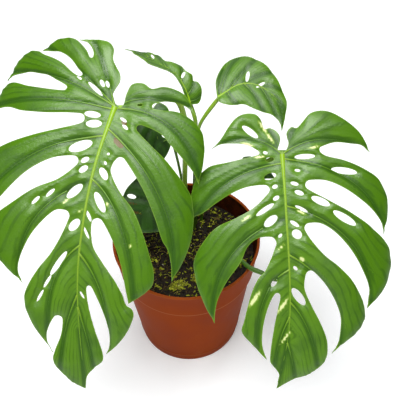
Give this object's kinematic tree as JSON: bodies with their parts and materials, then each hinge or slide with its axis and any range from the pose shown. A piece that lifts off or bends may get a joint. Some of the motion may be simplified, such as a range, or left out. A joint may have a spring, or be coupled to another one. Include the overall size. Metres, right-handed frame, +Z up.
{
  "type": "potted mini monstera",
  "caption": "Young monstera with split, holed heart-shaped leaves on long stalks, growing in a round terracotta-coloured plastic nursery pot.",
  "frame": {"origin": "centre of the pot's underside, on the face that it stands on", "axes": "+Z up the pot's axis, -Y to the front that the two large leaves hang over, +X to the right as seen from the front"},
  "size_m": [0.2724, 0.1964, 0.2888],
  "materials": {
    "terracotta_plastic": "satin moulded plastic",
    "potting_mix": "damp crumbly peat and bark",
    "moss": "matte moss",
    "leaf_blade": "satin waxy leaf",
    "leaf_stalk": "satin green stalk",
    "stem_bark": "rough green-brown stem"
  },
  "bodies": {
    "root": {"pot": "terracotta_plastic", "soil": "potting_mix", "main_stem": "stem_bark", "aerial_root": "leaf_stalk", "blade_left": "leaf_blade", "stalk_left": "leaf_stalk", "blade_right": "leaf_blade", "stalk_right": "leaf_stalk", "blade_rolled": "leaf_blade", "stalk_rolled": "leaf_stalk", "blade_heart": "leaf_blade", "stalk_heart": "leaf_stalk", "blade_inner": "leaf_blade", "stalk_inner": "leaf_stalk", "blade_low": "leaf_blade", "stalk_low": "leaf_stalk", "blade_side": "leaf_blade", "stalk_side": "leaf_stalk", "moss_clump_1": "moss", "moss_clump_2": "moss", "moss_clump_3": "moss", "moss_clump_4": "moss", "moss_clump_5": "moss", "moss_clump_6": "moss"}
  },
  "joints": []
}
